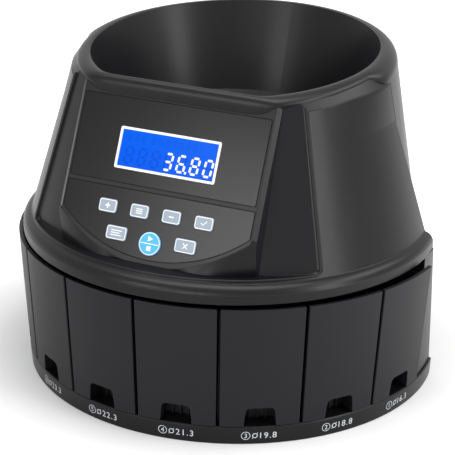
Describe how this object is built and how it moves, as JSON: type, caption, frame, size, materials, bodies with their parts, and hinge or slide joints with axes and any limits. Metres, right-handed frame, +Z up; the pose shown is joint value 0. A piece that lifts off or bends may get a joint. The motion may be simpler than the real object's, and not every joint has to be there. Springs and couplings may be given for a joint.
{
  "type": "coin sorting machine",
  "caption": "Table-top coin sorter: round base with pull-out coin trays under a conical shell with an open hopper, rotating feed disc and a sloping display and key console.",
  "frame": {"origin": "centre of the round base on the table", "axes": "+Z up, -Y towards the console, +X to the right seen from the front"},
  "size_m": [0.3428, 0.3133, 0.2683],
  "materials": {
    "housing_black": "fine satin moulded grain",
    "tray_black": "smooth satin moulding",
    "inner_black": "plain moulding",
    "panel_black": "printed matt film",
    "display_white": "smooth",
    "display_blue": "backlit display",
    "key_grey": "soft satin key",
    "key_blue": "soft satin key",
    "pad_rubber": "matt",
    "screw_steel": "zinc plated",
    "bush_bronze": "sintered",
    "motor_steel": "plain",
    "board_green": "solder mask",
    "supply_metal": "pressed sheet",
    "socket_black": "smooth",
    "pin_brass": "bright"
  },
  "bodies": {
    "base": {"base_plinth": "housing_black", "base_cover": "inner_black", "anti_slip_pads": "pad_rubber", "base_screws": "screw_steel", "deck_posts": "inner_black", "bay_frame": "inner_black", "rear_wall": "housing_black", "front_shell": "housing_black", "rear_shell": "housing_black", "hopper_bowl": "housing_black", "console_housing": "housing_black", "display_plate": "panel_black", "display_frame": "display_white", "display_module": "display_blue", "keypad_overlay": "panel_black", "keypad_board": "board_green", "keypad_screws": "screw_steel", "console_screws": "screw_steel", "shell_screws": "screw_steel", "sorting_deck": "inner_black", "coin_sensors": "inner_black", "spindle_bushes": "bush_bronze", "motor_bracket": "motor_steel", "gear_motor": "motor_steel", "motor_screws": "screw_steel", "main_board": "board_green", "board_spacers": "inner_black", "power_supply": "supply_metal", "power_inlet": "socket_black", "inlet_pins": "pin_brass", "switch_body": "socket_black"},
    "feed_rotor": {"spindle": "screw_steel", "feed_disc": "inner_black", "feed_pad": "pad_rubber", "disc_cap_screw": "screw_steel", "sweeper_rotor": "inner_black"},
    "rocker": {"switch_rocker": "socket_black"},
    "tray_1": {"coin_tray_1": "tray_black"},
    "tray_2": {"coin_tray_2": "tray_black"},
    "tray_3": {"coin_tray_3": "tray_black"},
    "tray_4": {"coin_tray_4": "tray_black"},
    "tray_5": {"coin_tray_5": "tray_black"},
    "tray_6": {"coin_tray_6": "tray_black"},
    "tray_7": {"coin_tray_7": "tray_black"},
    "tray_8": {"coin_tray_8": "tray_black"},
    "button_plus": {"key_plus": "key_grey"},
    "button_batch": {"key_batch": "key_grey"},
    "button_minus": {"key_minus": "key_grey"},
    "button_set": {"key_set": "key_grey"},
    "button_report": {"key_report": "key_grey"},
    "button_clear": {"key_clear": "key_grey"},
    "button_start_stop": {"key_start_stop": "key_blue"}
  },
  "joints": [
    {"name": "tray_1_pull", "type": "slide", "parent": "base", "child": "tray_1", "axis": [0.967, -0.2546, 0], "range_m": [0, 0.1]},
    {"name": "tray_2_pull", "type": "slide", "parent": "base", "child": "tray_2", "axis": [0.8064, -0.5913, 0], "range_m": [0, 0.1]},
    {"name": "tray_3_pull", "type": "slide", "parent": "base", "child": "tray_3", "axis": [0.5336, -0.8457, 0], "range_m": [0, 0.1]},
    {"name": "tray_4_pull", "type": "slide", "parent": "base", "child": "tray_4", "axis": [0.1865, -0.9825, 0], "range_m": [0, 0.1]},
    {"name": "tray_5_pull", "type": "slide", "parent": "base", "child": "tray_5", "axis": [-0.1865, -0.9825, 0], "range_m": [0, 0.1]},
    {"name": "tray_6_pull", "type": "slide", "parent": "base", "child": "tray_6", "axis": [-0.5336, -0.8457, 0], "range_m": [0, 0.1]},
    {"name": "tray_7_pull", "type": "slide", "parent": "base", "child": "tray_7", "axis": [-0.8064, -0.5913, 0], "range_m": [0, 0.1]},
    {"name": "tray_8_pull", "type": "slide", "parent": "base", "child": "tray_8", "axis": [-0.967, -0.2546, 0], "range_m": [0, 0.1]},
    {"name": "button_plus_press", "type": "slide", "parent": "base", "child": "button_plus", "axis": [0, 0.9107, -0.4131], "range_m": [0, 0.0008], "stiffness_N_per_m": 800},
    {"name": "button_batch_press", "type": "slide", "parent": "base", "child": "button_batch", "axis": [0, 0.9107, -0.4131], "range_m": [0, 0.0008], "stiffness_N_per_m": 800},
    {"name": "button_minus_press", "type": "slide", "parent": "base", "child": "button_minus", "axis": [0, 0.9107, -0.4131], "range_m": [0, 0.0008], "stiffness_N_per_m": 800},
    {"name": "button_set_press", "type": "slide", "parent": "base", "child": "button_set", "axis": [0, 0.9107, -0.4131], "range_m": [0, 0.0008], "stiffness_N_per_m": 800},
    {"name": "button_report_press", "type": "slide", "parent": "base", "child": "button_report", "axis": [0, 0.9107, -0.4131], "range_m": [0, 0.0008], "stiffness_N_per_m": 800},
    {"name": "button_clear_press", "type": "slide", "parent": "base", "child": "button_clear", "axis": [0, 0.9107, -0.4131], "range_m": [0, 0.0008], "stiffness_N_per_m": 800},
    {"name": "button_start_stop_press", "type": "slide", "parent": "base", "child": "button_start_stop", "axis": [0, 0.9107, -0.4131], "range_m": [0, 0.0008], "stiffness_N_per_m": 800},
    {"name": "feed_spin", "type": "hinge", "parent": "base", "child": "feed_rotor", "pos_m": [0, -0.00775, 0.186], "axis": [0, 0, 1], "continuous": true},
    {"name": "switch_rock", "type": "hinge", "parent": "base", "child": "rocker", "pos_m": [0.014, 0.13242, 0.042], "axis": [0, 0, 1], "range_deg": [0, 16]}
  ]
}
